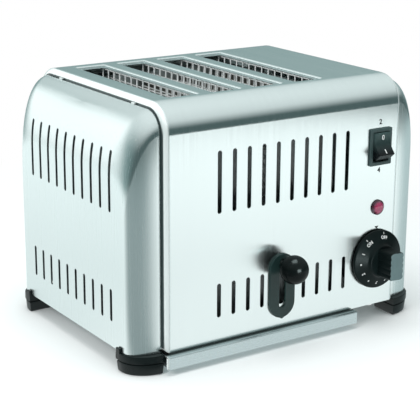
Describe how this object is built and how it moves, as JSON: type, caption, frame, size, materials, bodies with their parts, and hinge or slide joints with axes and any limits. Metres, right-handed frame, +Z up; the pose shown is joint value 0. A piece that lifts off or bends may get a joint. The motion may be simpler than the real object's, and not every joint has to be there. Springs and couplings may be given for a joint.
{
  "type": "toaster",
  "caption": "Catering lift toaster: long bread slots in a brushed steel body with end caps, lever with ball knob, timer dial, rocker switch, signal lamp, crumb tray and corner feet.",
  "frame": {"origin": "on the surface it stands on, under the middle of its outline", "axes": "+X from the left end cap to the right end cap, as seen from the front; +Y from the lever side to the back; +Z up"},
  "size_m": [0.295, 0.2496, 0.216],
  "materials": {
    "brushed_steel": "fine vertical brushing, satin",
    "tray_steel": "satin, brushed along its length",
    "inner_steel": "dull zinc-coated sheet",
    "plated_steel": "bright plated",
    "bright_wire": "bright plated wire",
    "heater_board": "matt mica board with flat ribbon",
    "black_plastic": "satin moulded",
    "black_gloss": "polished",
    "black_rubber": "matt moulded",
    "lamp_red": "clear red lens",
    "white_plastic": "matt moulded"
  },
  "bodies": {
    "root": {"wrap_cover": "brushed_steel", "left_end_cap": "brushed_steel", "right_end_cap": "brushed_steel", "base_plate": "inner_steel", "front_left_foot": "black_rubber", "front_right_foot": "black_rubber", "rear_left_foot": "black_rubber", "rear_right_foot": "black_rubber", "front_left_foot_screw": "plated_steel", "front_right_foot_screw": "plated_steel", "rear_left_foot_screw": "plated_steel", "rear_right_foot_screw": "plated_steel", "front_cover_screw": "plated_steel", "rear_cover_screw": "plated_steel", "left_tray_rail": "inner_steel", "right_tray_rail": "inner_steel", "front_case_plate": "inner_steel", "rear_case_plate": "inner_steel", "left_heat_shield": "inner_steel", "control_divider": "inner_steel", "bread_guard_1_left": "bright_wire", "bread_guard_1_right": "bright_wire", "bread_guard_2_left": "bright_wire", "bread_guard_2_right": "bright_wire", "bread_guard_3_left": "bright_wire", "bread_guard_3_right": "bright_wire", "bread_guard_4_left": "bright_wire", "bread_guard_4_right": "bright_wire", "heating_element_1": "heater_board", "heating_element_2": "heater_board", "heating_element_3": "heater_board", "heating_element_4": "heater_board", "heating_element_5": "heater_board", "front_left_guide_rod": "plated_steel", "front_right_guide_rod": "plated_steel", "rear_left_guide_rod": "plated_steel", "rear_right_guide_rod": "plated_steel", "lift_spring": "plated_steel", "hold_magnet": "black_plastic", "lever_plate": "black_plastic", "timer_body": "inner_steel", "switch_housing": "black_plastic", "lamp_lens": "lamp_red", "lamp_body": "white_plastic", "terminal_block": "white_plastic", "cord_gland": "black_plastic"},
    "carriage": {"front_lift_bar": "inner_steel", "rear_lift_bar": "inner_steel", "bread_rack_1": "bright_wire", "bread_rack_2": "bright_wire", "bread_rack_3": "bright_wire", "bread_rack_4": "bright_wire", "lever_arm": "inner_steel", "ball_knob": "black_gloss"},
    "timer_dial": {"timer_knob": "black_plastic", "timer_shaft": "plated_steel"},
    "power_rocker": {"rocker": "black_gloss"},
    "tray": {"crumb_tray": "tray_steel"}
  },
  "joints": [
    {"name": "lift", "type": "slide", "parent": "root", "child": "carriage", "axis": [0, 0, -1], "range_m": [0, 0.03], "stiffness_N_per_m": 150, "springref_m": -0.06, "deforming": ["lift_spring"]},
    {"name": "timer_turn", "type": "hinge", "parent": "root", "child": "timer_dial", "pos_m": [0.0953, -0.09555, 0.0584], "axis": [0, 1, 0], "range_deg": [-11, 278]},
    {"name": "switch_rock", "type": "hinge", "parent": "root", "child": "power_rocker", "pos_m": [0.0953, -0.09295, 0.1577], "axis": [1, 0, 0], "range_deg": [0, 39]},
    {"name": "tray_pull", "type": "slide", "parent": "root", "child": "tray", "axis": [0, -1, 0], "range_m": [0, 0.15]}
  ]
}
